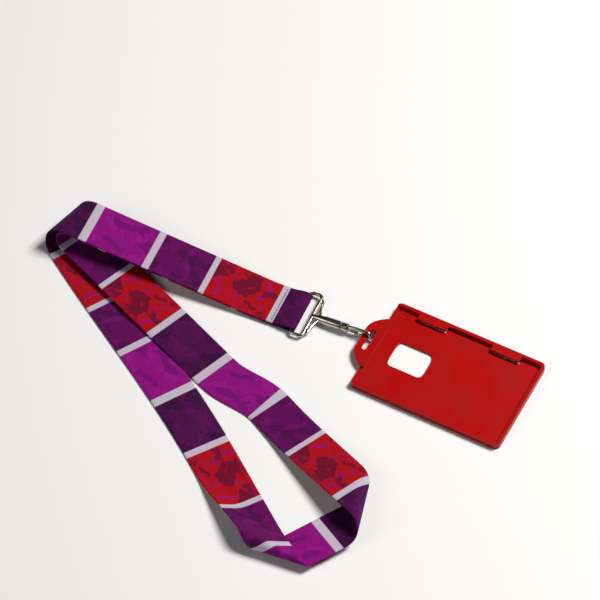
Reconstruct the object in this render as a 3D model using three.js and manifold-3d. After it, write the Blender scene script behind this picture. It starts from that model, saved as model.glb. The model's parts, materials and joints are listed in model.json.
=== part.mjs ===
// Lanyard badge holder: a printed webbing strap sewn round the ring of a swivel snap hook, and a
// rigid open-faced card holder that hangs from the hook by the slot in its tab.
// Millimetres, +Z up, everything as it lies on a table at z = 0. +X runs along the card holder, away
// from its tab; the origin is on the table under the middle of the whole lanyard.
import * as THREE from "three";
import { mergeVertices } from "three/addons/utils/BufferGeometryUtils.js";
import Module from "manifold-3d";

// ---- Driving sizes ------------------------------------------------------------------------------
// Card holder, in its own frame: origin under the middle of its floor
const HOLDER_AT = [95.3, 58.4];
const HOLDER_LENGTH = 89;
const HOLDER_WIDTH = 59.5;
const HOLDER_CORNER = 3;
const FLOOR = 1.6;
const POCKET = 1.5; // height left for the card under the lips
const LIP = 1.1;
const LIP_LENGTH = 17.5;
const LIP_REACH = 3.5;
const LIP_SPREAD = 22; // from the middle of the holder to the middle of a lip
const RIM = 1.9;
const MOUTH_RIM = 0.9; // height of the low sill on the tab side, above the floor
const THUMB_LENGTH = 21.5;
const THUMB_WIDTH = 17;
const THUMB_BULGE = 3.2;
const THUMB_FROM_MOUTH = 11; // from the tab side of the holder to the thumb hole
const TAB_REACH = 8;
const TAB_ROOT = 34; // width where the tab leaves the holder
const TAB_TIP = 13;
const TAB_THICK = 1.4;
const SLOT_LENGTH = 14;
const SLOT_WIDTH = 3.1;
const STRIP = 3.3; // of tab left outside its slot
const EJECTOR_MARK = 4.5; // diameter of the shallow round mark in the corner

// Strap
const STRAP_WIDTH = 25.4;
const STRAP_THICK = 1;
const LAYER_GAP = 0.3;
const TAIL = 17; // turned back under the strap beyond the ring
const SEAM_FROM_RING = 12;
const STRAP_HEADING = 183.6; // from the ring to the curl, in degrees from +X towards +Y
const STRAND_B_HEADING = -33;
const STRAND_A_HEADING = -21;
const TOP_RUN = 106; // of each layer, from where it has begun to rise to its curl
const STRAND_A_DOWN = 112; // over strand B
const STRAND_A_DIP = 2.2; // degrees
const OUTER_CURL = 8.2; // radius at the middle of the webbing
const INNER_CURL = 5.4;
const SOFT_BEND = 60; // radius of the long easy bends
const LEAN_ROOM = 6; // flat length beside a square end, so that a leaning bend clears it
const U_TURN_AT = [5.2, -43.7]; // where strand B leaves the table for its ridge
const U_TURN_HEADING = -36.1;
// Stretches of the far end: length, turn in degrees (over and under is positive), lean of the
// lines that it bends about, in degrees, and their lean at its end
const U_TURN = [
  [30],
  [18, -36.8, 64.5],
  [21.2],
  [14.2, 209.5, 55.1, 28],
  [39.9],
  [22.3, 179.5, -42, -41.1],
  [44.8],
  [29.1, -10.5, 11],
];

// Ring and hook, in their own frame: origin in the ring's bar, +X towards the hook's bend
const RING_AT = [5.7, 58.1];
const HOOK_TILT = 3; // degrees that the hook end stands up
const WIRE = 2; // thickness of the ring
const RING_INSIDE = 26.9; // width that the strap passes through
const RING_DEPTH = 7.4; // from the middle of the bar to the middle of the front bar
const RING_CORNER = 2.3;
const ARM_THICK = 1.7;
const BARREL_END = 24.3;
const BARREL_RADIUS = 2.5;
const NECK_RADIUS = 1.8;
const NECK_AT = 10.5;
const BORE_RADIUS = 1.3;
const CHAMBER_RADIUS = 1.8;
const CHAMBER = [14, 17.4];
const RUNNING_GAP = 0.3;
const HOOK_WIRE = 2;
const BASE_LENGTH = 5;
const BASE_RADIUS = 2.4;
const EYE = 4.8; // between the middles of the hook's two limbs
const LIMB_RISE = 1.6; // of the upper limb above the swivel's axis
const BEND_AT = 39.8; // middle of the hook's bend
const TIP_AT = 32.6; // end of the lower limb
const GATE_THICK = 0.7;
const GATE_WIDTH = 2;
const GATE_END = 34.4;
const RIVET_AT = [27.2, -1.2];
const RIVET_RADIUS = 0.6;

const CLEAR = 0.3; // left between pieces that touch
const TURN = Math.PI / 180;

// ---- Solids -------------------------------------------------------------------------------------
const wasm = await Module();
wasm.setup();

// A closed geometry as a solid that can be cut and joined.
function solid(geometry) {
  const bare = geometry.clone();
  bare.deleteAttribute("normal");
  bare.deleteAttribute("uv");
  const merged = mergeVertices(bare, 1e-4);
  return new wasm.Manifold(new wasm.Mesh({
    numProp: 3,
    vertProperties: merged.attributes.position.array,
    triVerts: new Uint32Array(merged.index.array),
  }));
}

function geometryOf(body) {
  const mesh = body.getMesh();
  const geometry = new THREE.BufferGeometry();
  geometry.setAttribute("position", new THREE.BufferAttribute(mesh.vertProperties, 3));
  geometry.setIndex(new THREE.BufferAttribute(mesh.triVerts, 1));
  return geometry;
}

const finish = {
  red: new THREE.MeshStandardMaterial({ color: 0xb50000, roughness: 0.42 }),
  strap: new THREE.MeshStandardMaterial({ color: 0x7d0074, roughness: 0.85 }),
  thread: new THREE.MeshStandardMaterial({ color: 0x120a10, roughness: 0.9 }),
  nickel: new THREE.MeshStandardMaterial({ color: 0xb9b3a0, roughness: 0.25, metalness: 1 }),
};

function piece(name, body, material) {
  const mesh = new THREE.Mesh(body.isBufferGeometry ? body : geometryOf(body), material);
  mesh.name = name;
  return mesh;
}

// A flat outline made solid between two heights.
function plate(outline, bottom, top, curveSegments = 8) {
  const geometry = new THREE.ExtrudeGeometry(outline, {
    depth: top - bottom, bevelEnabled: false, curveSegments,
  });
  return solid(geometry.translate(0, 0, bottom));
}

function roundedRectangle(length, width, corner, x = 0, y = 0) {
  const [l, r] = [x - length / 2, x + length / 2];
  const [b, t] = [y - width / 2, y + width / 2];
  const outline = new THREE.Shape();
  outline.moveTo(l + corner, b);
  outline.lineTo(r - corner, b);
  outline.absarc(r - corner, b + corner, corner, -Math.PI / 2, 0);
  outline.lineTo(r, t - corner);
  outline.absarc(r - corner, t - corner, corner, 0, Math.PI / 2);
  outline.lineTo(l + corner, t);
  outline.absarc(l + corner, t - corner, corner, Math.PI / 2, Math.PI);
  outline.lineTo(l, b + corner);
  outline.absarc(l + corner, b + corner, corner, Math.PI, 1.5 * Math.PI);
  return outline;
}

// A body turned about the X axis from [x, radius] pairs that start and end on the axis.
function turned(profile, sides = 32) {
  const points = profile.map(([x, radius]) => new THREE.Vector2(radius, x));
  const geometry = new THREE.LatheGeometry(points, sides);
  return solid(geometry.rotateZ(-Math.PI / 2));
}

// ---- Card holder --------------------------------------------------------------------------------
const RIM_TOP = FLOOR + POCKET + LIP;

function tabOutline() {
  const root = -HOLDER_LENGTH / 2 + RIM;
  const end = -HOLDER_LENGTH / 2 - TAB_REACH;
  const outline = new THREE.Shape();
  outline.moveTo(root, -TAB_ROOT / 2);
  outline.lineTo(root - RIM, -TAB_ROOT / 2);
  outline.bezierCurveTo(
    root - RIM - TAB_REACH * 0.55, -TAB_ROOT * 0.42, end, -TAB_TIP * 0.85, end, -TAB_TIP / 2,
  );
  outline.lineTo(end, TAB_TIP / 2);
  outline.bezierCurveTo(
    end, TAB_TIP * 0.85, root - RIM - TAB_REACH * 0.55, TAB_ROOT * 0.42, root - RIM, TAB_ROOT / 2,
  );
  outline.lineTo(root, TAB_ROOT / 2);
  return outline;
}

function thumbOutline() {
  const left = -HOLDER_LENGTH / 2 + THUMB_FROM_MOUTH;
  const right = left + THUMB_LENGTH;
  const half = THUMB_WIDTH / 2;
  const outline = new THREE.Shape();
  outline.moveTo(left + THUMB_BULGE, -half);
  outline.lineTo(right - THUMB_BULGE, -half);
  outline.bezierCurveTo(right, -half, right, -half * 0.6, right, 0);
  outline.bezierCurveTo(right, half * 0.6, right, half, right - THUMB_BULGE, half);
  outline.lineTo(left + THUMB_BULGE, half);
  outline.bezierCurveTo(left, half, left, half * 0.6, left, 0);
  outline.bezierCurveTo(left, -half * 0.6, left, -half, left + THUMB_BULGE, -half);
  return outline;
}

function cardHolder() {
  const past = 1; // how far a cutter runs past the face it opens
  const inside = [HOLDER_LENGTH - 2 * RIM, HOLDER_WIDTH - 2 * RIM];
  const insideCorner = HOLDER_CORNER - RIM;
  let body = plate(roundedRectangle(HOLDER_LENGTH, HOLDER_WIDTH, HOLDER_CORNER), 0, RIM_TOP);
  body = body.subtract(plate(roundedRectangle(...inside, insideCorner), FLOOR, RIM_TOP + past));
  // the mouth side has only a low sill, between the ends of the two long rims
  body = body.subtract(plate(
    roundedRectangle(2 * RIM + past, inside[1], 0.2, -HOLDER_LENGTH / 2 + RIM / 2 - past / 2 + 0.01),
    FLOOR + MOUTH_RIM, RIM_TOP + past,
  ));
  for (const side of [-1, 1]) {
    for (const end of [-1, 1]) {
      const lipY = side * (inside[1] / 2 - LIP_REACH / 2 + RIM / 4);
      const lip = roundedRectangle(LIP_LENGTH, LIP_REACH + RIM / 2, 0.8, end * LIP_SPREAD, lipY);
      body = body.add(plate(lip, RIM_TOP - LIP, RIM_TOP, 3));
      const slotY = side * (inside[1] / 2 - LIP_REACH / 2);
      const slot = roundedRectangle(LIP_LENGTH, LIP_REACH, 0.8, end * LIP_SPREAD, slotY);
      body = body.subtract(plate(slot, -past, FLOOR + past / 4, 3));
    }
  }
  body = body.subtract(plate(thumbOutline(), -past, FLOOR + past, 10));
  body = body.add(plate(tabOutline(), RIM_TOP - TAB_THICK, RIM_TOP, 10));
  // web that ties the raised tab to the floor
  const webHeight = RIM_TOP - 0.01;
  const webX = -HOLDER_LENGTH / 2 + RIM / 2;
  body = body.add(plate(roundedRectangle(RIM, TAB_ROOT, 0.4, webX), 0, webHeight, 3));
  const slotX = -HOLDER_LENGTH / 2 - TAB_REACH + STRIP + SLOT_WIDTH / 2;
  body = body.subtract(plate(
    roundedRectangle(SLOT_WIDTH, SLOT_LENGTH, SLOT_WIDTH / 2 - 0.1, slotX), -past, RIM_TOP + past,
  ));
  const mark = new THREE.CylinderGeometry(EJECTOR_MARK / 2, EJECTOR_MARK / 2, 1, 24);
  mark.rotateX(Math.PI / 2);
  const markInset = RIM + EJECTOR_MARK;
  mark.translate(-HOLDER_LENGTH / 2 + markInset, HOLDER_WIDTH / 2 - markInset, FLOOR + 0.2);
  body = body.subtract(solid(mark));
  const mesh = piece("card_holder", body, finish.red);
  mesh.position.set(...HOLDER_AT, 0);
  return mesh;
}

// ---- Strap --------------------------------------------------------------------------------------
// A station is a straight line across the strap: its middle, the way along the strap, the way
// square across it, the way out of its face, and lean, the angle by which the line leans forward
// from square. The strap only ever bends about such lines, so it never stretches.
function station(middle, along, across, out, lean = 0) {
  return { middle, along, across, out, lean };
}

// Adds stretches to a list of stations, each [length, turn, lean, lean at its end]. A stretch is
// flat, or turns through an angle in degrees, away from its face when that is positive. It adds a
// station at each line that it bends about, and the last station is always the square end.
function lay(stations, stretches) {
  let { middle, along, across, out } = stations.length > 1 ? stations.pop() : stations[0];
  for (const [length, turn = 0, lean = 0, leanTo = lean] of stretches) {
    const steps = Math.ceil(Math.abs(turn) / 10);
    const [first, last] = [Math.tan(lean * TURN), Math.tan(leanTo * TURN)];
    for (let i = 0; i < steps; i++) {
      const tangent = first + ((last - first) * (i + 0.5)) / steps;
      middle = middle.clone().addScaledVector(along, length / steps / 2);
      const line = across.clone().addScaledVector(along, tangent).normalize();
      const half = (v) => v.clone().applyAxisAngle(line, (turn * TURN) / steps / 2);
      [along, across, out] = [along, across, out].map(half);
      stations.push(station(middle, along, across, out, Math.atan(tangent) / TURN));
      [along, across, out] = [along, across, out].map(half);
      middle = middle.clone().addScaledVector(along, length / steps / 2);
    }
    if (steps === 0) middle = middle.clone().addScaledVector(along, length);
  }
  stations.push(station(middle, along, across, out));
  return stations;
}

// The lean of the crease that turns one heading into another: it lies halfway between them.
function creaseLean(from, to) {
  const lean = 90 - (to - from) / 2;
  return lean - 180 * Math.round(lean / 180);
}

// One layer from the sewn end: it climbs to its curl, turns under, and comes down to the table.
function curledHalf(start, heading, radius, runDown, dip, level) {
  const lean = creaseLean(STRAP_HEADING, heading);
  const [cos, down] = [Math.cos(lean * TURN), dip * TURN];
  const lost = runDown * cos * Math.sin(down) + SOFT_BEND * (1 - Math.cos(down));
  const height = (climb) => start.middle.z + SOFT_BEND * (1 - Math.cos(climb))
    + TOP_RUN * cos * Math.sin(climb) - radius * (Math.cos(down) + Math.cos(climb)) - lost;
  let [low, high] = [0, 30 * TURN];
  for (let i = 0; i < 40; i++) {
    const middle = (low + high) / 2;
    if (height(middle) > level) high = middle;
    else low = middle;
  }
  const climb = (low + high) / 2;
  return lay([start], [
    [LEAN_ROOM],
    [(SOFT_BEND * climb) / cos, -climb / TURN, lean],
    [TOP_RUN],
    [(radius * (Math.PI + climb - down)) / cos, 180 + (climb - down) / TURN, lean],
    [runDown],
    [(SOFT_BEND * down) / cos, dip, lean],
    [LEAN_ROOM],
  ]);
}

// Between two stretches that lie on the table, an easy curve from one to the other.
function easeAcross(from, to, steps = 8) {
  const reach = from.middle.distanceTo(to.middle);
  const made = [];
  for (let i = 1; i < steps; i++) {
    const [a, b] = [1 - i / steps, i / steps];
    const at = from.middle.clone().multiplyScalar(a * a * (1 + 2 * b));
    at.addScaledVector(to.middle, b * b * (1 + 2 * a));
    at.addScaledVector(from.along, reach * a * a * b).addScaledVector(to.along, -reach * a * b * b);
    const slope = to.middle.clone().sub(from.middle).multiplyScalar(6 * a * b);
    slope.addScaledVector(from.along, reach * a * (a - 2 * b));
    slope.addScaledVector(to.along, reach * b * (b - 2 * a)).normalize();
    const across = UP.clone().cross(slope).normalize();
    made.push(station(at, slope, across, slope.clone().cross(across)));
  }
  return made;
}

function turnedRound(stations) {
  return stations.toReversed().map((s) => station(
    s.middle, s.along.clone().negate(), s.across.clone().negate(), s.out, s.lean,
  ));
}

// The same lines, with the strap's other face taken as its face.
function otherFace(stations) {
  return stations.map((s) => station(
    s.middle, s.along, s.across.clone().negate(), s.out.clone().negate(), -s.lean,
  ));
}

const heading = (degrees) => new THREE.Vector3(
  Math.cos(degrees * TURN), Math.sin(degrees * TURN), 0,
);
const UP = new THREE.Vector3(0, 0, 1);
const BAR_HEIGHT = WIRE / 2 + CLEAR + STRAP_THICK + LAYER_GAP;
const WRAP = WIRE / 2 + CLEAR + STRAP_THICK / 2; // radius of the strap round the ring's bar
const TABLE_LEVEL = STRAP_THICK / 2 + 0.1;
const STACK = STRAP_THICK + LAYER_GAP;

function strapStations() {
  // upper layer: tail, wrap round the bar, down to the seam
  const toRing = heading(STRAP_HEADING - 180);
  const down = UP.clone().negate();
  const tailAt = new THREE.Vector3(...RING_AT, BAR_HEIGHT - WRAP).addScaledVector(toRing, -TAIL);
  const start = station(tailAt, toRing, down.clone().cross(toRing), down);
  const settle = Math.acos(1 - (2 * WRAP - 2 * STACK) / (2 * SEAM_FROM_RING)); // down to the stack
  const ease = SEAM_FROM_RING / 2 / Math.sin(settle);
  const upper = lay([start], [
    [TAIL], [WRAP * Math.PI, 180],
    [ease * settle, settle / TURN], [ease * settle, -settle / TURN],
  ]);
  const outer = curledHalf(upper.at(-1), STRAND_B_HEADING, OUTER_CURL, 0, 0, TABLE_LEVEL);

  // lower layer: from its end beside the ring
  const back = heading(STRAP_HEADING);
  const seamAt = upper.at(-1).middle.clone().addScaledVector(UP, -STACK);
  const lower = station(seamAt, back, UP.clone().cross(back), UP);
  const inner = curledHalf(
    lower, STRAND_A_HEADING, INNER_CURL, STRAND_A_DOWN, STRAND_A_DIP, TABLE_LEVEL,
  );
  const endAt = seamAt.clone().addScaledVector(back, -SEAM_FROM_RING + WRAP + 1);
  const strandA = turnedRound([station(endAt, back, lower.across, UP), ...inner]);

  // the far end: over a ridge and under, flat to the second ridge, up over it, and down again
  const ahead = heading(U_TURN_HEADING);
  const far = lay([
    station(new THREE.Vector3(...U_TURN_AT, TABLE_LEVEL), ahead, UP.clone().cross(ahead), UP),
  ], U_TURN);

  const loop = [
    ...easeAcross(outer.at(-1), far[0]), ...far, ...easeAcross(far.at(-1), strandA[0]),
  ];
  return [...upper, ...outer.slice(1), ...otherFace(loop), ...strandA];
}

// The webbing as one solid: four corners at each station, joined to the next station's.
function strapBody(stations) {
  const corners = [];
  let last = null;
  for (const s of stations) {
    if (last && last.distanceTo(s.middle) < 1e-3) continue;
    last = s.middle;
    const line = s.across.clone().addScaledVector(s.along, Math.tan(s.lean * TURN));
    line.multiplyScalar(STRAP_WIDTH / 2);
    for (const [side, face] of [[-1, -1], [1, -1], [1, 1], [-1, 1]]) {
      const corner = s.middle.clone().addScaledVector(line, side);
      corners.push(corner.addScaledVector(s.out, (face * STRAP_THICK) / 2));
    }
  }
  const count = corners.length / 4;
  const faces = [0, 2, 1, 0, 3, 2];
  const end = 4 * (count - 1);
  for (let i = 0; i < count - 1; i++) {
    for (let k = 0; k < 4; k++) {
      const [a, b] = [4 * i + k, 4 * i + ((k + 1) % 4)];
      faces.push(a, b, b + 4, a, b + 4, a + 4);
    }
  }
  faces.push(end, end + 1, end + 2, end, end + 2, end + 3);
  const geometry = new THREE.BufferGeometry().setFromPoints(corners);
  geometry.setIndex(faces);
  return geometry;
}

// The row of stitches that holds the layers together, as one raised line across the strap.
function seamThread(stations) {
  const at = stations.find((s, i) => i > 10 && s.out.z > 0.999);
  const thread = new THREE.BoxGeometry(0.7, STRAP_WIDTH - 2.4, 0.4);
  const mesh = piece("seam_thread", thread, finish.thread);
  mesh.position.copy(at.middle).addScaledVector(UP, STRAP_THICK / 2 + 0.25);
  mesh.rotation.z = (STRAP_HEADING - 180) * TURN;
  return mesh;
}

// ---- Ring and hook ------------------------------------------------------------------------------
function roundLoop(depth, width, corner) {
  const half = width / 2;
  const quarter = (x, y, from) => {
    const points = [];
    for (let i = 0; i <= 6; i++) {
      const a = from + (i / 6) * (Math.PI / 2);
      points.push(new THREE.Vector3(x + corner * Math.cos(a), y + corner * Math.sin(a), 0));
    }
    return points;
  };
  return [
    ...quarter(depth - corner, half - corner, 0),
    ...quarter(corner, half - corner, Math.PI / 2),
    ...quarter(corner, -half + corner, Math.PI),
    ...quarter(depth - corner, -half + corner, 1.5 * Math.PI),
  ];
}

// A round bar through points, closed on itself or open, with a section at each point.
function wireThrough(points, radius, closed, sides = 12) {
  const sections = [];
  const n = points.length;
  for (let i = 0; i < n; i++) {
    const before = points[closed ? (i + n - 1) % n : Math.max(i - 1, 0)];
    const after = points[closed ? (i + 1) % n : Math.min(i + 1, n - 1)];
    const tangent = after.clone().sub(before).normalize();
    const side = new THREE.Vector3(0, 0, 1);
    if (Math.abs(tangent.y) < 0.5 && Math.abs(tangent.z) > 1e-6) side.set(0, 1, 0);
    if (!closed) side.set(0, 1, 0);
    side.addScaledVector(tangent, -side.dot(tangent)).normalize();
    const other = tangent.clone().cross(side);
    for (let k = 0; k < sides; k++) {
      const a = (k / sides) * 2 * Math.PI;
      const p = points[i].clone().addScaledVector(side, radius * Math.cos(a));
      sections.push(p.addScaledVector(other, radius * Math.sin(a)));
    }
  }
  const faces = [];
  for (let i = 0; i < (closed ? n : n - 1); i++) {
    const j = (i + 1) % n;
    for (let k = 0; k < sides; k++) {
      const m = (k + 1) % sides;
      const [a, b, c, d] = [i * sides + k, i * sides + m, j * sides + m, j * sides + k];
      faces.push(a, b, c, a, c, d);
    }
  }
  if (!closed) {
    for (let k = 1; k < sides - 1; k++) {
      faces.push(0, k + 1, k);
      const e = (n - 1) * sides;
      faces.push(e, e + k, e + k + 1);
    }
  }
  const geometry = new THREE.BufferGeometry().setFromPoints(sections);
  geometry.setIndex(faces);
  return geometry;
}

function ringYoke() {
  const width = RING_INSIDE + WIRE;
  const points = roundLoop(RING_DEPTH, width, RING_CORNER);
  let body = solid(wireThrough(points, WIRE / 2, true));
  for (const side of [-1, 1]) {
    const arm = [
      new THREE.Vector3(RING_DEPTH - 0.4, side * (width / 2 - RING_CORNER * 0.9), 0),
      new THREE.Vector3(RING_DEPTH + 1.6, side * (width / 2 - RING_CORNER * 1.6), 0),
      new THREE.Vector3(RING_DEPTH + 2.4, side * width * 0.2, 0),
      new THREE.Vector3(NECK_AT + 1.5, 0, 0),
    ];
    const smooth = new THREE.CatmullRomCurve3(arm).getPoints(10);
    body = body.add(solid(wireThrough(smooth, ARM_THICK / 2, false)));
  }
  body = body.add(turned([
    [RING_DEPTH - 0.2, 0], [RING_DEPTH, WIRE * 0.6], [NECK_AT, NECK_RADIUS],
    [NECK_AT + 5, BARREL_RADIUS], [BARREL_END - 0.4, BARREL_RADIUS], [BARREL_END, BARREL_RADIUS - 0.4],
    [BARREL_END, 0],
  ]));
  body = body.subtract(turned([
    [CHAMBER[0], 0], [CHAMBER[0], CHAMBER_RADIUS], [CHAMBER[1], CHAMBER_RADIUS],
    [CHAMBER[1], BORE_RADIUS], [BARREL_END + 1, BORE_RADIUS], [BARREL_END + 1, 0],
  ]));
  return piece("ring_yoke", body, finish.nickel);
}

function hookPath() {
  const base = BARREL_END + RUNNING_GAP + BASE_LENGTH;
  const points = [new THREE.Vector3(base - 1.6, 0, LIMB_RISE * 0.45)];
  points.push(new THREE.Vector3(base, 0, LIMB_RISE * 0.8), new THREE.Vector3(base + 2, 0, LIMB_RISE));
  const [radius, middle] = [EYE / 2, LIMB_RISE - EYE / 2];
  for (let i = 0; i <= 14; i++) {
    const a = Math.PI / 2 - (i / 14) * Math.PI;
    points.push(new THREE.Vector3(BEND_AT + radius * Math.cos(a), 0, middle + radius * Math.sin(a)));
  }
  points.push(new THREE.Vector3(TIP_AT, 0, LIMB_RISE - EYE));
  return points;
}

function hook() {
  const from = BARREL_END + RUNNING_GAP;
  const head = [CHAMBER[0] + RUNNING_GAP, CHAMBER[1] - RUNNING_GAP];
  const stem = BORE_RADIUS - RUNNING_GAP;
  let body = turned([
    [head[0], 0], [head[0], CHAMBER_RADIUS - RUNNING_GAP], [head[1], CHAMBER_RADIUS - RUNNING_GAP],
    [head[1], stem], [from, stem], [from, BASE_RADIUS - 0.4], [from + 0.4, BASE_RADIUS],
    [from + BASE_LENGTH - 1.2, BASE_RADIUS], [from + BASE_LENGTH, BASE_RADIUS - 1.2],
    [from + BASE_LENGTH, 0],
  ]);
  body = body.add(solid(wireThrough(hookPath(), HOOK_WIRE / 2, false, 14)));
  // slot in the base for the gate, and the hole for its rivet
  const slot = GATE_WIDTH + 2 * RUNNING_GAP;
  const slotTop = RIVET_AT[1] + RIVET_RADIUS + 0.9;
  const cut = new THREE.BoxGeometry(BASE_LENGTH, slot, 6);
  cut.translate(from + 0.9 + BASE_LENGTH / 2, 0, slotTop - 3);
  body = body.subtract(solid(cut));
  const hole = new THREE.CylinderGeometry(RIVET_RADIUS + 0.05, RIVET_RADIUS + 0.05, 8, 16);
  body = body.subtract(solid(hole.translate(RIVET_AT[0], 0, RIVET_AT[1])));
  return piece("hook", body, finish.nickel);
}

function gate() {
  const [x, z] = RIVET_AT;
  const knuckle = RIVET_RADIUS + 0.5;
  let body = solid(new THREE.CylinderGeometry(knuckle, knuckle, GATE_WIDTH, 20).translate(x, 0, z));
  const tipZ = LIMB_RISE - EYE + HOOK_WIRE / 2 + CLEAR + GATE_THICK / 2;
  const leaf = new THREE.Shape();
  leaf.moveTo(x, z - GATE_THICK / 2);
  leaf.lineTo(GATE_END, tipZ - GATE_THICK / 2);
  leaf.lineTo(GATE_END, tipZ + GATE_THICK / 2);
  leaf.lineTo(x, z + GATE_THICK / 2);
  const strip = new THREE.ExtrudeGeometry(leaf, { depth: GATE_WIDTH, bevelEnabled: false });
  body = body.add(solid(strip.rotateX(Math.PI / 2).translate(0, GATE_WIDTH / 2, 0)));
  const bore = RIVET_RADIUS + 0.1;
  body = body.subtract(solid(new THREE.CylinderGeometry(bore, bore, 8, 20).translate(x, 0, z)));
  return piece("gate", body, finish.nickel);
}

function gateRivet() {
  const length = 2 * BASE_RADIUS - 0.6;
  const pin = new THREE.CylinderGeometry(RIVET_RADIUS, RIVET_RADIUS, length, 16);
  return piece("gate_rivet", pin.translate(RIVET_AT[0], 0, RIVET_AT[1]), finish.nickel);
}

// ---- Assembly -----------------------------------------------------------------------------------
const group = new THREE.Group();
group.add(cardHolder());
const stations = strapStations();
group.add(piece("strap", strapBody(stations), finish.strap), seamThread(stations));

const metal = new THREE.Group();
metal.add(ringYoke(), hook(), gate(), gateRivet());
metal.position.set(...RING_AT, BAR_HEIGHT);
metal.rotation.set(0, -HOOK_TILT * TURN, (STRAP_HEADING - 180) * TURN, "ZYX");
group.add(metal);

export default group;
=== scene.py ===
# Lanyard badge holder, laid out on a table: a red moulded card holder, a nickel plated snap hook
# with its swivel ring, and a printed webbing strap that is sewn round the ring.
# Metres, +Z up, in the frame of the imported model.
import json
import math

import bmesh
import bpy
import numpy as np
from mathutils import Matrix, Vector


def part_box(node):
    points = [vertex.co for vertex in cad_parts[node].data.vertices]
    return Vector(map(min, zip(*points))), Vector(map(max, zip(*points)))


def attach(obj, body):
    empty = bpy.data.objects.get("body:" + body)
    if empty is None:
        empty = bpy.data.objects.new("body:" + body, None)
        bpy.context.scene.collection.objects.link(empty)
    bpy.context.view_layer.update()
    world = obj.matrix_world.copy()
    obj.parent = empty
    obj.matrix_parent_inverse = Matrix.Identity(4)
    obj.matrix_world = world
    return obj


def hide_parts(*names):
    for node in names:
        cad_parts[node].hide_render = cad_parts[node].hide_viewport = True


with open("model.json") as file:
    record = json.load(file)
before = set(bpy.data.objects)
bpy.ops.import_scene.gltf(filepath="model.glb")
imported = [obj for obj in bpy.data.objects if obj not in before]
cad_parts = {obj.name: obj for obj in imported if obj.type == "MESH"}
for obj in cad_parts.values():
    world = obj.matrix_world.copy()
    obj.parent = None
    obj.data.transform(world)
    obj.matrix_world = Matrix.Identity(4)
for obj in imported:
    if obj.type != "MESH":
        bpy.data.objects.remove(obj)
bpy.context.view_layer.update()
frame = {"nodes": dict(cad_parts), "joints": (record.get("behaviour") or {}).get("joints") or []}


# ---- Card holder --------------------------------------------------------------------------------
# The holder is moulded in opaque red plastic, with a soft gloss and slightly rounded arrises. It
# hangs on the hook by the slot in its raised tab.
HOLDER_RED = (0.43, 0.0, 0.0, 1.0)
HOLDER_DEEP_RED = (0.37, 0.0, 0.0, 1.0)
HOLDER_EDGE_ROUND = 0.00022
HOLDER_SHARP_ANGLE = 28  # degrees
HOLDER_GLOSS = (0.33, 0.44)  # roughness where it is clean and where it is smeared
HOLDER_SCRATCHED = 0.06  # how much rougher a scratch is
HOLDER_RIPPLE = 0.00001
SCRATCH_CUT = (0.66, 0.74)  # the noise's values between which a scratch comes in
SMEAR_CUT = (0.35, 0.7)
SAME_CORNER = 2e-6
SAME_PLANE = 0.6  # degrees


def smooth_copy(node, name, edge_round, sharp_angle):
    """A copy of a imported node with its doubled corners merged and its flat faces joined. Edges
    sharper than the angle, in degrees, stay sharp, and a bevel rounds them off by edge_round."""
    mesh = bpy.data.meshes.new(name)
    sharp_angle = math.radians(sharp_angle)
    shape = bmesh.new()
    shape.from_mesh(frame["nodes"][node].data)
    bmesh.ops.remove_doubles(shape, verts=shape.verts, dist=SAME_CORNER)
    bmesh.ops.dissolve_limit(
        shape, angle_limit=math.radians(SAME_PLANE), verts=shape.verts, edges=shape.edges
    )
    for edge in shape.edges:
        edge.smooth = edge.calc_face_angle(math.pi) < sharp_angle
    for face in shape.faces:
        face.smooth = True
    shape.to_mesh(mesh)
    shape.free()
    piece = bpy.data.objects.new(name, mesh)
    bpy.context.scene.collection.objects.link(piece)
    bevel = piece.modifiers.new("rounded_arrises", "BEVEL")
    bevel.width = edge_round
    bevel.segments = 2
    bevel.limit_method = "ANGLE"
    bevel.angle_limit = sharp_angle
    bevel.harden_normals = True
    bevel.use_clamp_overlap = True
    return piece


def new_material(name):
    """An empty material: its nodes, its links and its Principled shader."""
    material = bpy.data.materials.new(name)
    material.use_nodes = True
    nodes, links = material.node_tree.nodes, material.node_tree.links
    return material, nodes, links, nodes["Principled BSDF"]


def scaled_noise(nodes, links, source, scale, detail, stretch=(1, 1, 1)):
    """A noise texture whose pattern is scale to the metre, stretched along the axes."""
    mapping = nodes.new("ShaderNodeMapping")
    mapping.inputs["Scale"].default_value = stretch
    noise = nodes.new("ShaderNodeTexNoise")
    noise.inputs["Scale"].default_value = scale
    noise.inputs["Detail"].default_value = detail
    links.new(source, mapping.inputs["Vector"])
    links.new(mapping.outputs["Vector"], noise.inputs["Vector"])
    return noise.outputs["Fac"]


def spread(nodes, links, value, low, high, to_low, to_high):
    """Value between low and high, carried over to the range between to_low and to_high."""
    node = nodes.new("ShaderNodeMapRange")
    node.inputs["From Min"].default_value = low
    node.inputs["From Max"].default_value = high
    node.inputs["To Min"].default_value = to_low
    node.inputs["To Max"].default_value = to_high
    links.new(value, node.inputs["Value"])
    return node.outputs["Result"]


def mixed_colour(nodes, links, mask, first, second):
    """The first colour where the mask is 0 and the second where it is 1. Each is a colour or an
    output."""
    node = nodes.new("ShaderNodeMix")
    node.data_type = "RGBA"
    links.new(mask, node.inputs["Factor"])
    for socket, colour in ((node.inputs[6], first), (node.inputs[7], second)):
        if isinstance(colour, tuple):
            socket.default_value = colour
        else:
            links.new(colour, socket)
    return node.outputs[2]


def bump(nodes, links, shader, height, depth, strength=1.0):
    """Feeds a height of 0 to 1, depth metres tall, to the shader's normal."""
    node = nodes.new("ShaderNodeBump")
    node.inputs["Strength"].default_value = strength
    node.inputs["Distance"].default_value = depth
    links.new(height, node.inputs["Height"])
    links.new(node.outputs["Normal"], shader.inputs["Normal"])


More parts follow.
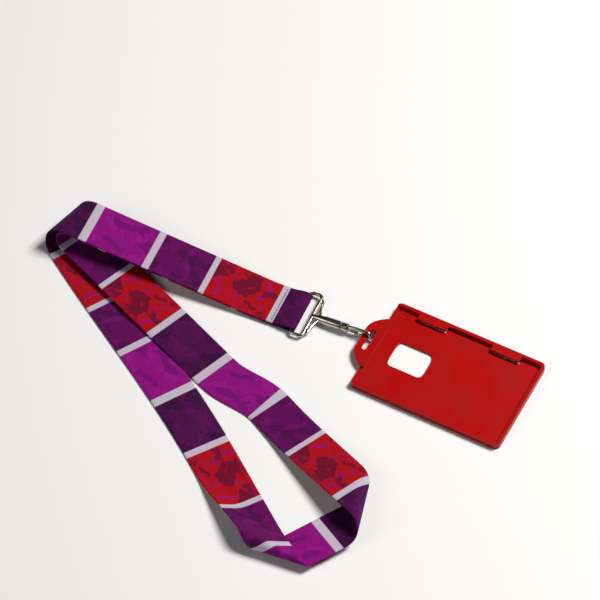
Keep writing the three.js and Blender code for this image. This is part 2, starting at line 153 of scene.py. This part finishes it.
def fine_wear():
    """A node group of handling marks: fine scratches that run two ways, and cloudy smears. Both
    masks go from 0 to 1."""
    group = bpy.data.node_groups.new("fine_wear", "ShaderNodeTree")
    group.interface.new_socket("Place", in_out="INPUT", socket_type="NodeSocketVector")
    group.interface.new_socket("Scratches", in_out="OUTPUT", socket_type="NodeSocketFloat")
    group.interface.new_socket("Smears", in_out="OUTPUT", socket_type="NodeSocketFloat")
    nodes, links = group.nodes, group.links
    place = nodes.new("NodeGroupInput").outputs["Place"]
    result = nodes.new("NodeGroupOutput")
    one_way = scaled_noise(nodes, links, place, 220, 2, stretch=(0.12, 5, 1))
    other_way = scaled_noise(nodes, links, place, 260, 2, stretch=(4, 0.15, 1))
    both = nodes.new("ShaderNodeMath")
    both.operation = "MAXIMUM"
    links.new(one_way, both.inputs[0])
    links.new(other_way, both.inputs[1])
    links.new(spread(nodes, links, both.outputs[0], *SCRATCH_CUT, 0, 1), result.inputs["Scratches"])
    smear = scaled_noise(nodes, links, place, 38, 5)
    links.new(spread(nodes, links, smear, *SMEAR_CUT, 0, 1), result.inputs["Smears"])
    return group


FINE_WEAR = fine_wear()


def place_on(nodes, name):
    """The Object coordinates or the UV map of the piece that the material is on."""
    return nodes.new("ShaderNodeTexCoord").outputs[name]


def wear_on(nodes, links, place):
    """The scratches and the smears of the handling marks, at that place."""
    node = nodes.new("ShaderNodeGroup")
    node.node_tree = FINE_WEAR
    links.new(place, node.inputs["Place"])
    return node.outputs["Scratches"], node.outputs["Smears"]


def moulded_red():
    """Red plastic with a slightly deeper red in clouds, hairline scratches and a faint ripple."""
    material, nodes, links, shader = new_material("moulded_red")
    place = place_on(nodes, "Object")
    scratches, smears = wear_on(nodes, links, place)
    colour = mixed_colour(nodes, links, smears, HOLDER_RED, HOLDER_DEEP_RED)
    links.new(colour, shader.inputs["Base Color"])
    gloss = nodes.new("ShaderNodeMath")
    gloss.operation = "ADD"
    links.new(spread(nodes, links, smears, 0, 1, *HOLDER_GLOSS), gloss.inputs[0])
    links.new(spread(nodes, links, scratches, 0, 1, 0, HOLDER_SCRATCHED), gloss.inputs[1])
    links.new(gloss.outputs[0], shader.inputs["Roughness"])
    ripple = scaled_noise(nodes, links, place, 900, 3)
    bump(nodes, links, shader, ripple, HOLDER_RIPPLE, 0.5)
    shader.inputs["Specular IOR Level"].default_value = 0.22
    return material


holder = smooth_copy("card_holder", "moulded_holder", HOLDER_EDGE_ROUND, HOLDER_SHARP_ANGLE)
holder.data.materials.append(moulded_red())
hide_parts("card_holder")
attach(holder, "holder")


# ---- Snap hook and ring ------------------------------------------------------------------------
# A cast ring with its swivel barrel, a bent wire hook that turns in the barrel, and a thin spring
# gate on a rivet. All of it is nickel plated, bright with a slightly warm tone.
NICKEL = (0.56, 0.52, 0.45, 1.0)
NICKEL_DULL = (0.44, 0.40, 0.33, 1.0)
METAL_SHARP_ANGLE = 38  # degrees
CAST_RIPPLE = 0.00001


def nickel_plate(name, roughness, scratched):
    """Bright plate whose gloss changes in clouds, with hairline scratches and a faint casting
    ripple under it."""
    material, nodes, links, shader = new_material(name)
    place = place_on(nodes, "Object")
    scratches, smears = wear_on(nodes, links, place)
    links.new(mixed_colour(nodes, links, smears, NICKEL, NICKEL_DULL), shader.inputs["Base Color"])
    gloss = nodes.new("ShaderNodeMath")
    gloss.operation = "ADD"
    links.new(spread(nodes, links, smears, 0, 1, roughness, roughness + 0.1), gloss.inputs[0])
    links.new(spread(nodes, links, scratches, 0, 1, 0, scratched), gloss.inputs[1])
    links.new(gloss.outputs[0], shader.inputs["Roughness"])
    bump(nodes, links, shader, scaled_noise(nodes, links, place, 420, 1), CAST_RIPPLE, 0.25)
    shader.inputs["Metallic"].default_value = 1.0
    return material


METAL_PIECES = [
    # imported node, name, body, edge round, roughness, how much rougher a scratch is
    ("ring_yoke", "swivel_ring", "ring", 0.00010, 0.20, 0.06),
    ("hook", "wire_hook", "hook", 0.00010, 0.18, 0.06),
    ("gate", "spring_gate", "gate", 0.00006, 0.26, 0.08),
    ("gate_rivet", "rivet", "hook", 0.00010, 0.24, 0.05),
]
for node, name, body, edge_round, roughness, scratched in METAL_PIECES:
    piece = smooth_copy(node, name, edge_round, METAL_SHARP_ANGLE)
    piece.data.materials.append(nickel_plate(name + "_plate", roughness, scratched))
    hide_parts(node)
    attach(piece, body)


# ---- Strap --------------------------------------------------------------------------------------
# One length of ribbed polyester webbing, 25.4 mm wide, dye printed on both faces. It is folded
# round the ring's bar, its two layers are sewn together, and the rest lies in a long loop.
WEBBING_WIDTH = 0.0254
WEBBING_THICK = 0.001
LAYER_GAP = 0.0003
TAIL = 0.017  # turned back under the strap beyond the ring
SEAM_FROM_RING = 0.012
STRAP_HEADING = 183.6  # degrees from +X towards +Y, from the ring to the curl
STRAND_B_HEADING = -33.0
STRAND_A_HEADING = -21.0
TOP_RUN = 0.106
STRAND_A_DOWN = 0.112
STRAND_A_DIP = 2.2  # degrees
OUTER_CURL = 0.0082
INNER_CURL = 0.0054
SOFT_BEND = 0.060
LEAN_ROOM = 0.006
U_TURN_AT = (0.0052, -0.0437)
U_TURN_HEADING = -36.1
# Stretches of the far end: length, turn in degrees (over and under is positive), lean of the
# lines that it bends about, in degrees, and their lean at its end
U_TURN = [
    (0.030,),
    (0.018, -36.8, 64.5),
    (0.0212,),
    (0.0142, 209.5, 55.1, 28),
    (0.0399,),
    (0.0223, 179.5, -42, -41.1),
    (0.0448,),
    (0.0291, -10.5, 11),
]
BEND_STEP = 3.0  # degrees between two lines of the mesh in a bend
ROW_LENGTH = 0.005  # most between two lines of the mesh where it is flat
ring_bar = np.array(
    next(j for j in frame["joints"] if j["name"] == "ring_pivot")["pos_m"], dtype=float
)
RING_WIRE = 0.002
RING_CLEAR = 0.0003
TABLE_CLEAR = 0.0001
INNER_END_CLEAR = 0.001  # from the turn round the bar to the end of the lower layer
WRAP = RING_WIRE / 2 + RING_CLEAR + WEBBING_THICK / 2  # radius of the strap round the ring's bar
TABLE_LEVEL = WEBBING_THICK / 2 + TABLE_CLEAR
STACK = WEBBING_THICK + LAYER_GAP
UP = np.array([0.0, 0.0, 1.0])


def heading(degrees):
    """The level direction at that angle from +X towards +Y."""
    return np.array([math.cos(math.radians(degrees)), math.sin(math.radians(degrees)), 0.0])


def turned_about(line, angle, vector):
    """Rodrigues: the vector's part along the line stays, and the rest turns by the angle."""
    along = line * np.dot(line, vector)
    return along + (vector - along) * math.cos(angle) + np.cross(line, vector) * math.sin(angle)


def station(middle, along, across, out, tangent=0.0, run=0.0):
    """A line across the strap: its middle, the way along, square across and out of its face, how
    far its line leans forward for each metre across, and its distance along the strap."""
    return dict(middle=middle, along=along, across=across, out=out, tangent=tangent, run=run)


def bend_of(turn=0.0, lean=0.0, lean_to=None):
    """A stretch's turn, and the lean of its lines at its start and at its end."""
    return turn, lean, lean if lean_to is None else lean_to


def lay(stations, stretches):
    """Adds stretches, each (length, turn, lean, lean at its end). A flat one only moves the end. A
    bend turns the strap by equal steps about lines that lean across it, so that the strap never
    stretches, and it adds a station at each."""
    end = stations.pop() if len(stations) > 1 else stations[0]
    middle, run = end["middle"], end["run"]
    ways = [end["along"], end["across"], end["out"]]
    for length, *bend in stretches:
        turn, lean, lean_to = bend_of(*bend)
        steps = math.ceil(abs(turn) / BEND_STEP)
        first, last = math.tan(math.radians(lean)), math.tan(math.radians(lean_to))
        for i in range(steps):
            half, angle = length / steps / 2, math.radians(turn) / steps / 2
            tangent = first + (last - first) * (i + 0.5) / steps
            middle, run = middle + ways[0] * half, run + half
            line = ways[1] + ways[0] * tangent
            line = line / np.linalg.norm(line)
            ways = [turned_about(line, angle, way) for way in ways]
            stations.append(station(middle, *ways, tangent, run))
            ways = [turned_about(line, angle, way) for way in ways]
            middle, run = middle + ways[0] * half, run + half
        if steps == 0:
            middle, run = middle + ways[0] * length, run + length
    stations.append(station(middle, *ways, 0.0, run))
    return stations


def crease_lean(start, end):
    """The lean of the crease that turns one heading into another: halfway between them."""
    lean = 90 - (end - start) / 2
    return lean - 180 * round(lean / 180)


def curled_half(start, to_heading, radius, run_down, dip, level):
    """One layer from the sewn end: it climbs to its curl, turns under, and comes down to the
    table. Its climb is found by halving until the far end lands at the level."""
    lean = crease_lean(STRAP_HEADING, to_heading)
    cos, down = math.cos(math.radians(lean)), math.radians(dip)
    lost = run_down * cos * math.sin(down) + SOFT_BEND * (1 - math.cos(down))
    low, high = 0.0, math.radians(30)
    for _ in range(40):
        climb = (low + high) / 2
        rise = SOFT_BEND * (1 - math.cos(climb)) + TOP_RUN * cos * math.sin(climb)
        drop = radius * (math.cos(down) + math.cos(climb)) + lost
        if start["middle"][2] + rise - drop > level:
            high = climb
        else:
            low = climb
    over = math.pi + climb - down
    return lay([start], [
        (LEAN_ROOM,),
        (SOFT_BEND * climb / cos, -math.degrees(climb), lean),
        (TOP_RUN,),
        (radius * over / cos, math.degrees(over), lean),
        (run_down,),
        (SOFT_BEND * down / cos, dip, lean),
        (LEAN_ROOM,),
    ])


def ease_across(start, end, steps=16):
    """Between two stretches that lie on the table, a cubic curve that leaves the one and meets the
    other in their own directions."""
    reach = np.linalg.norm(end["middle"] - start["middle"])
    made, run, last = [], start["run"], start["middle"]
    for i in range(1, steps):
        b = i / steps
        a = 1 - b
        at = start["middle"] * a * a * (1 + 2 * b) + end["middle"] * b * b * (1 + 2 * a)
        at = at + start["along"] * reach * a * a * b - end["along"] * reach * a * b * b
        slope = (end["middle"] - start["middle"]) * 6 * a * b
        slope = slope + start["along"] * reach * a * (a - 2 * b)
        slope = slope + end["along"] * reach * b * (b - 2 * a)
        slope = slope / np.linalg.norm(slope)
        across = np.cross(UP, slope)
        across = across / np.linalg.norm(across)
        run, last = run + np.linalg.norm(at - last), at
        made.append(station(at, slope, across, np.cross(slope, across), 0.0, run))
    return made, run + np.linalg.norm(end["middle"] - last)


def turned_round(stations):
    """The same stations met from the other end."""
    total = stations[-1]["run"]
    return [
        station(s["middle"], -s["along"], -s["across"], s["out"], s["tangent"], total - s["run"])
        for s in reversed(stations)
    ]


def other_face(stations):
    """The same lines, with the strap's other face taken as its face."""
    return [
        station(s["middle"], s["along"], -s["across"], -s["out"], -s["tangent"], s["run"])
        for s in stations
    ]


def further_on(stations, run):
    """The same stations, with their distances along the strap counted on from run."""
    start = stations[0]["run"]
    return [dict(s, run=s["run"] - start + run) for s in stations]


def strap_stations():
    """The whole route: tail, turn round the bar, upper layer, outer curl, strand B, far end,
    strand A, inner curl and lower layer."""
    to_ring, down = heading(STRAP_HEADING - 180), -UP
    tail_at = ring_bar - UP * WRAP - to_ring * TAIL
    start = station(tail_at, to_ring, np.cross(down, to_ring), down, 0.0, -TAIL - WRAP * math.pi)
    settle = math.acos(1 - (2 * WRAP - 2 * STACK) / (2 * SEAM_FROM_RING))
    ease = SEAM_FROM_RING / 2 / math.sin(settle)
    upper = lay([start], [
        (TAIL,),
        (WRAP * math.pi, 180),
        (ease * settle, math.degrees(settle)),
        (ease * settle, -math.degrees(settle)),
    ])
    seam = upper[-1]
    outer = curled_half(seam, STRAND_B_HEADING, OUTER_CURL, 0.0, 0.0, TABLE_LEVEL)
    back = heading(STRAP_HEADING)
    lower = station(seam["middle"] - UP * STACK, back, np.cross(UP, back), UP)
    inner = curled_half(
        lower, STRAND_A_HEADING, INNER_CURL, STRAND_A_DOWN, STRAND_A_DIP, TABLE_LEVEL
    )
    end_run = -SEAM_FROM_RING + WRAP + INNER_END_CLEAR
    inner_end = station(lower["middle"] + back * end_run, back, lower["across"], UP, 0.0, end_run)
    strand_a = turned_round([inner_end, *inner])
    ahead = heading(U_TURN_HEADING)
    turn_at = np.array([*U_TURN_AT, TABLE_LEVEL])
    far = lay([station(turn_at, ahead, np.cross(UP, ahead), UP)], U_TURN)

    between, run = ease_across(outer[-1], far[0])
    far = further_on(far, run)
    after, run = ease_across(far[-1], strand_a[0])
    loop = other_face([*between, *far, *after])
    return [*upper, *outer[1:], *loop, *further_on(strand_a, run)]


def strap_lines(stations):
    """The stations as whole arrays, with more lines put in where the strap is flat, each a share of
    the way between its neighbours."""
    middle = np.array([s["middle"] for s in stations])
    line = np.array([s["across"] + s["along"] * s["tangent"] for s in stations])
    out = np.array([s["out"] for s in stations])
    run = np.array([s["run"] for s in stations])
    tangent = np.array([s["tangent"] for s in stations])
    keep = np.r_[True, np.linalg.norm(np.diff(middle, axis=0), axis=1) > 1e-6]
    middle, line, out, run, tangent = (a[keep] for a in (middle, line, out, run, tangent))
    gaps = np.linalg.norm(np.diff(middle, axis=0), axis=1)
    count = np.maximum(1, np.ceil(gaps / ROW_LENGTH)).astype(int)
    first = np.repeat(np.arange(len(gaps)), count)
    share = (np.arange(count.sum()) - np.repeat(np.cumsum(count) - count, count)) / count[first]
    first, share = np.r_[first, len(gaps) - 1], np.r_[share, 1.0]

    def between(a):
        part = share.reshape(-1, *[1] * (a.ndim - 1))
        return a[first] * (1 - part) + a[first + 1] * part

    middle, line, out, run, tangent = map(between, (middle, line, out, run, tangent))
    out /= np.linalg.norm(out, axis=1)[:, None]
    return middle, line, out, run, tangent


def webbing_section(columns=12, arc=5):
    """Points round the webbing's section, (across, out of its face): flat faces between two
    half-round selvedges."""
    half, thick = WEBBING_WIDTH / 2, WEBBING_THICK / 2
    flat = half - thick
    angle = np.linspace(-math.pi / 2, math.pi / 2, arc + 2)
    face = np.linspace(-flat, flat, columns + 1)[1:-1]
    right = np.c_[flat + thick * np.cos(angle), thick * np.sin(angle)]
    top = np.c_[face[::-1], np.full(len(face), thick)]
    left = -right
    bottom = np.c_[face, np.full(len(face), -thick)]
    return np.vstack([right, top, left, bottom])


def skin_faces(rings, sides, first=0):
    """The faces of a closed skin over rings of points: four corners at a time between each ring
    and the next, and one face over each end. first is the number of its first point."""
    ring, around = np.meshgrid(np.arange(rings - 1), np.arange(sides), indexing="ij")
    after = (around + 1) % sides
    quads = np.stack([
        ring * sides + around, ring * sides + after,
        (ring + 1) * sides + after, (ring + 1) * sides + around,
    ], axis=-1).reshape(-1, 4)
    first_end = [first + i for i in reversed(range(sides))]
    last_end = [first + (rings - 1) * sides + i for i in range(sides)]
    return [*(quads + first).tolist(), first_end, last_end]


def face_outwards(piece):
    """Recalculates the normals of a closed piece so that they point out of it."""
    shape = bmesh.new()
    shape.from_mesh(piece.data)
    bmesh.ops.recalc_face_normals(shape, faces=shape.faces)
    shape.to_mesh(piece.data)
    shape.free()


def skinned(name, rows, uv):
    """A closed skin over rows of points, each row a ring round the piece. uv gives each point its
    place in the map."""
    mesh = bpy.data.meshes.new(name)
    mesh.from_pydata(rows.reshape(-1, 3), [], skin_faces(*rows.shape[:2]))
    corners = np.empty(len(mesh.loops), dtype=np.int32)
    mesh.loops.foreach_get("vertex_index", corners)
    layer = mesh.uv_layers.new(name="strap_map")
    layer.data.foreach_set("uv", uv.reshape(-1, 2)[corners].ravel().astype(np.float32))
    mesh.polygons.foreach_set("use_smooth", np.ones(len(mesh.polygons), dtype=bool))
    piece = bpy.data.objects.new(name, mesh)
    bpy.context.scene.collection.objects.link(piece)
    return piece


def webbing():
    """Each point is the middle of its line, plus the line times its distance across, plus the way
    out times its height in the section."""
    middle, line, out, run, tangent = strap_lines(strap_stations())
    across, height = webbing_section().T
    rows = (
        middle[:, None, :]
        + line[:, None, :] * across[None, :, None]
        + out[:, None, :] * height[None, :, None]
    )
    uv = np.stack([
        run[:, None] + tangent[:, None] * across[None, :],
        np.broadcast_to(across, (len(run), len(across))),
    ], axis=-1)
    return skinned("webbing_strap", rows, uv), float(run[-1] - run[0])


# The print repeats along the strap: red, purple, magenta and dark purple panels, each with its
# own tonal shapes, and pale bands between them.
PRINT_REPEAT = 0.1513
PRINT_START = 0.013  # from the ring's bar to the middle of the first pale band
PANEL_ENDS = (0.0413, 0.0749, 0.1129, 0.1513)
BAND_HALF = (0.0016, 0.0020, 0.0024, 0.0020)  # half the width of the band at each panel's end
BAND_BLUR = 0.00012
PANEL_COLOURS = (
    # plain, dark shapes, light shapes
    ((0.470, 0.000, 0.006, 1), (0.190, 0.000, 0.026, 1), (0.380, 0.000, 0.110, 1)),
    ((0.130, 0.000, 0.105, 1), (0.082, 0.000, 0.075, 1), (0.175, 0.001, 0.140, 1)),
    ((0.300, 0.001, 0.225, 1), (0.205, 0.000, 0.180, 1), (0.350, 0.004, 0.260, 1)),
    ((0.078, 0.000, 0.072, 1), (0.046, 0.000, 0.048, 1), (0.105, 0.001, 0.090, 1)),
)
BAND_COLOUR = (0.64, 0.55, 0.66, 1)
DARK_CUT = (0.545, 0.57)  # the noise's values between which a dark shape comes in
LIGHT_CUT = (0.555, 0.575)
SHAPE_FADE = (0.0095, 0.0125)  # the distances from the middle between which the shapes fade
RIB_PITCH = 0.00062
YARN_PITCH = 0.0011
WEAVE_DEPTH = 0.00016
FUZZ_COLOUR = (0.55, 0.45, 0.55, 1)


def calculated(nodes, links, operation, first, second=None):
    """A sum worked out by the material, on one or two values or outputs."""
    node = nodes.new("ShaderNodeMath")
    node.operation = operation
    for socket, value in zip(node.inputs, (first, second)):
        if value is None:
            continue
        if isinstance(value, (int, float)):
            socket.default_value = value
        else:
            links.new(value, socket)
    return node.outputs[0]


def printed_webbing():
    """The print, from the distance along the strap in one repeat, with a rib across the strap every
    RIB_PITCH, crossed by finer yarns, and painted shade that darkens the weave's troughs."""
    material, nodes, links, shader = new_material("printed_webbing")
    place = place_on(nodes, "UV")
    axes = nodes.new("ShaderNodeSeparateXYZ")
    links.new(place, axes.inputs[0])
    along, across = axes.outputs[0], axes.outputs[1]

    def calc(*parts):
        return calculated(nodes, links, *parts)

    turns = calc("DIVIDE", calc("ADD", along, 10 * PRINT_REPEAT - PRINT_START), PRINT_REPEAT)
    inside = calc("MULTIPLY", calc("FRACT", turns), PRINT_REPEAT)

    # tonal shapes: two layers of soft-cornered patches, the same in every repeat
    spot = nodes.new("ShaderNodeCombineXYZ")
    links.new(inside, spot.inputs[0])
    links.new(across, spot.inputs[1])
    sway = scaled_noise(nodes, links, spot.outputs[0], 90, 2)
    shifted = nodes.new("ShaderNodeVectorMath")
    shifted.operation = "ADD"
    sway_vector = nodes.new("ShaderNodeCombineXYZ")
    links.new(spread(nodes, links, sway, 0.3, 0.7, -0.004, 0.004), sway_vector.inputs[0])
    links.new(spread(nodes, links, sway, 0.3, 0.7, 0.003, -0.003), sway_vector.inputs[1])
    links.new(spot.outputs[0], shifted.inputs[0])
    links.new(sway_vector.outputs[0], shifted.inputs[1])
    dark = scaled_noise(nodes, links, shifted.outputs[0], 88, 1.6, stretch=(0.8, 1.2, 1))
    light = scaled_noise(nodes, links, shifted.outputs[0], 120, 1.6, stretch=(1.3, 0.9, 1))
    dark = spread(nodes, links, dark, *DARK_CUT, 0, 1)
    light = spread(nodes, links, light, *LIGHT_CUT, 0, 1)
    centred = calc("ABSOLUTE", across)
    within = spread(nodes, links, centred, *SHAPE_FADE, 1, 0.25)
    dark, light = calc("MULTIPLY", dark, within), calc("MULTIPLY", light, within)

    colour = None
    for end, (plain, deep, pale) in zip((0.0, *PANEL_ENDS[:-1]), PANEL_COLOURS):
        panel = mixed_colour(nodes, links, light, plain, pale)
        panel = mixed_colour(nodes, links, dark, panel, deep)
        if colour is None:
            colour = panel
            continue
        colour = mixed_colour(nodes, links, calc("GREATER_THAN", inside, end), colour, panel)

    band = None
    for end, half in zip(PANEL_ENDS, BAND_HALF):
        offset = calc("ABSOLUTE", calc("SUBTRACT", inside, end))
        mask = spread(nodes, links, offset, half - BAND_BLUR, half + BAND_BLUR, 1, 0)
        band = mask if band is None else calc("MAXIMUM", band, mask)
    half = BAND_HALF[-1]
    start = spread(nodes, links, inside, half - BAND_BLUR, half + BAND_BLUR, 1, 0)
    band = calc("MAXIMUM", band, start)
    colour = mixed_colour(nodes, links, band, colour, BAND_COLOUR)

    # weave: ribs across, yarns along, half a pitch apart in neighbouring ribs
    rib = calc("SINE", calc("MULTIPLY", along, 2 * math.pi / RIB_PITCH))
    stagger = calc("MULTIPLY", calc("FLOOR", calc("DIVIDE", along, RIB_PITCH)), math.pi)
    yarn = calc("SINE", calc("ADD", calc("MULTIPLY", across, 2 * math.pi / YARN_PITCH), stagger))
    weave = calc("ADD", calc("MULTIPLY", rib, 0.32), calc("MULTIPLY", yarn, 0.18))
    weave = calc("ADD", weave, 0.5)
    # painted shade: the print darkens towards black, by up to 0.30, in the troughs between the ribs
    # and yarns
    print_with_painted_shade = mixed_colour(
        nodes, links, spread(nodes, links, weave, 0.05, 0.75, 0.30, 0.0), colour, (0.0, 0.0, 0.0, 1)
    )
    fuzz = scaled_noise(nodes, links, place, 2600, 2)
    print_with_painted_shade = mixed_colour(
        nodes, links, spread(nodes, links, fuzz, 0.62, 0.8, 0.0, 0.16), print_with_painted_shade, FUZZ_COLOUR
    )
    links.new(print_with_painted_shade, shader.inputs["Base Color"])
    links.new(spread(nodes, links, weave, 0, 1, 0.86, 0.66), shader.inputs["Roughness"])
    bump(nodes, links, shader, weave, WEAVE_DEPTH, 1.0)
    shader.inputs["Sheen Weight"].default_value = 0.02
    shader.inputs["Sheen Roughness"].default_value = 0.5
    shader.inputs["Specular IOR Level"].default_value = 0.12
    return material


strap, strap_length = webbing()
face_outwards(strap)
strap.data.materials.append(printed_webbing())
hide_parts("strap")
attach(strap, "strap")


# ---- Seam ---------------------------------------------------------------------------------------
# A row of lock stitches in dark polyester thread holds the folded webbing beside the ring. Only its
# upper side is made: each stitch is a short rounded bead that dips into the webbing at both ends.
STITCHES = 11
STITCH_RADIUS = 0.00026
STITCH_ROW = 0.0225
STITCH_SHARE = 0.86  # of its pitch that a stitch takes
STITCH_BOW = 0.00022
STITCH_SUNK = 0.00008
STITCH_DROP = 0.0003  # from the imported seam's lower side down to where a stitch starts
THREAD_BLACK = (0.012, 0.006, 0.012, 1)
THREAD_RAISED = (0.035, 0.022, 0.035, 1)


def stitch_row():
    """Stitches side by side across the strap. Each is a tube whose middle rises as a half sine
    from the webbing, and whose radius is full except at its two pinched ends."""
    low, high = (np.array(corner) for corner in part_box("seam_thread"))
    centre = (low + high) / 2
    way = heading(STRAP_HEADING + 90)
    pitch = STITCH_ROW / STITCHES
    share = np.linspace(0, 1, 9)
    angle = np.linspace(0, 2 * math.pi, 8, endpoint=False)
    starts = (np.arange(STITCHES) + 0.5) * pitch - STITCH_ROW / 2
    offset = starts[:, None] + (share - 0.5)[None, :] * pitch * STITCH_SHARE
    lift = np.sin(math.pi * share) * STITCH_BOW - STITCH_SUNK
    pinch = STITCH_RADIUS * (0.35 + 0.65 * np.sin(math.pi * share) ** 0.5)
    base = low[2] - STITCH_DROP
    middle = np.stack([
        centre[0] + way[0] * offset, centre[1] + way[1] * offset,
        np.broadcast_to(base + lift + STITCH_RADIUS, offset.shape),
    ], axis=-1)
    side = heading(STRAP_HEADING)
    rim = side[None, :] * np.cos(angle)[:, None] + UP[None, :] * np.sin(angle)[:, None]
    return middle[:, :, None, :] + rim[None, None] * pinch[None, :, None, None]


def many_skins(name, pieces):
    """One mesh of closed skins, each over its own rings of points."""
    count, rings, sides = pieces.shape[:3]
    faces = []
    for k in range(count):
        faces += skin_faces(rings, sides, k * rings * sides)
    mesh = bpy.data.meshes.new(name)
    mesh.from_pydata(pieces.reshape(-1, 3), [], faces)
    mesh.polygons.foreach_set("use_smooth", np.ones(len(mesh.polygons), dtype=bool))
    piece = bpy.data.objects.new(name, mesh)
    bpy.context.scene.collection.objects.link(piece)
    return piece


def dark_thread():
    """Twisted thread: a fine slanted ripple over each stitch, its colour a little lighter where the
    ripple stands up.
    """
    material, nodes, links, shader = new_material("dark_thread")
    place = place_on(nodes, "Object")
    twist = scaled_noise(nodes, links, place, 3200, 1, stretch=(1, 2.5, 1))
    # the colour is a little lighter where the twist ripple stands up, in step with the bump
    colour = mixed_colour(nodes, links, twist, THREAD_BLACK, THREAD_RAISED)
    links.new(colour, shader.inputs["Base Color"])
    links.new(spread(nodes, links, twist, 0, 1, 0.6, 0.8), shader.inputs["Roughness"])
    bump(nodes, links, shader, twist, 0.00005, 0.7)
    return material


thread = many_skins("lock_stitches", stitch_row())
face_outwards(thread)
thread.data.materials.append(dark_thread())
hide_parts("seam_thread")
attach(thread, "strap")


# ---- Table, light and camera ---------------------------------------------------------------------
# A matt white table top, a large soft lamp high to the right and behind, a weak one in front, and
# a pale room that is darker near the floor.
TABLE_SIZE = 4.0
TABLE_WHITE = (0.90, 0.90, 0.90, 1)
LAMP_AT = (0.75, 0.75, 1.5)
LAMP_SIZE = 0.7
LAMP_POWER = 38
LAMP_COLOUR = (1.0, 0.98, 0.96)
FILL_AT = (-1.2, -1.4, 1.4)
FILL_SIZE = 1.2
FILL_POWER = 9
FILL_COLOUR = (0.96, 0.98, 1.0)
ROOM_LIGHT = (0.12, 0.55)  # near the floor and overhead
CAMERA_AT = (0.5892, -1.0374, 1.7868)
CAMERA_TILT = 35.0  # degrees up from straight down
CAMERA_TURN = 28.04
CAMERA_ROLL = -0.46
CAMERA_LENS = 240.0


def table_top():
    """A matt white square at height 0."""
    half = TABLE_SIZE / 2
    mesh = bpy.data.meshes.new("table_top")
    mesh.from_pydata(
        [(-half, -half, 0), (half, -half, 0), (half, half, 0), (-half, half, 0)], [], [(0, 1, 2, 3)]
    )
    table = bpy.data.objects.new("table_top", mesh)
    bpy.context.scene.collection.objects.link(table)
    material, *_, shader = new_material("white_table")
    shader.inputs["Base Color"].default_value = TABLE_WHITE
    shader.inputs["Roughness"].default_value = 0.6
    table.data.materials.append(material)
    return table


def area_lamp(name, at, size, power, colour):
    """A round soft lamp that faces the middle of the table."""
    lamp = bpy.data.lights.new(name, "AREA")
    lamp.shape = "DISK"
    lamp.size, lamp.energy, lamp.color = size, power, colour
    lamp_object = bpy.data.objects.new(name, lamp)
    bpy.context.scene.collection.objects.link(lamp_object)
    aim = (-Vector(at)).to_track_quat("-Z", "Y")
    lamp_object.matrix_world = Matrix.Translation(at) @ aim.to_matrix().to_4x4()


def studio():
    """Two lamps, a room that is darker near the floor than overhead, and the camera."""
    area_lamp("key_lamp", LAMP_AT, LAMP_SIZE, LAMP_POWER, LAMP_COLOUR)
    area_lamp("fill_lamp", FILL_AT, FILL_SIZE, FILL_POWER, FILL_COLOUR)
    world = bpy.data.worlds.new("pale_room")
    world.use_nodes = True
    nodes, links = world.node_tree.nodes, world.node_tree.links
    direction = nodes.new("ShaderNodeSeparateXYZ")
    links.new(nodes.new("ShaderNodeTexCoord").outputs["Generated"], direction.inputs[0])
    light = spread(nodes, links, direction.outputs[2], 0.0, 0.8, *ROOM_LIGHT)
    links.new(light, nodes["Background"].inputs["Strength"])
    bpy.context.scene.world = world
    bpy.context.scene.view_settings.view_transform = "Standard"
    camera = bpy.data.cameras.new("camera")
    camera.lens, camera.sensor_width = CAMERA_LENS, 36.0
    camera.clip_start, camera.clip_end = 0.01, 20
    camera_object = bpy.data.objects.new("camera", camera)
    bpy.context.scene.collection.objects.link(camera_object)
    camera_object.matrix_world = (
        Matrix.Translation(CAMERA_AT)
        @ Matrix.Rotation(math.radians(CAMERA_TURN), 4, "Z")
        @ Matrix.Rotation(math.radians(CAMERA_TILT), 4, "X")
        @ Matrix.Rotation(math.radians(CAMERA_ROLL), 4, "Z")
    )
    bpy.context.scene.camera = camera_object


table_top()
studio()
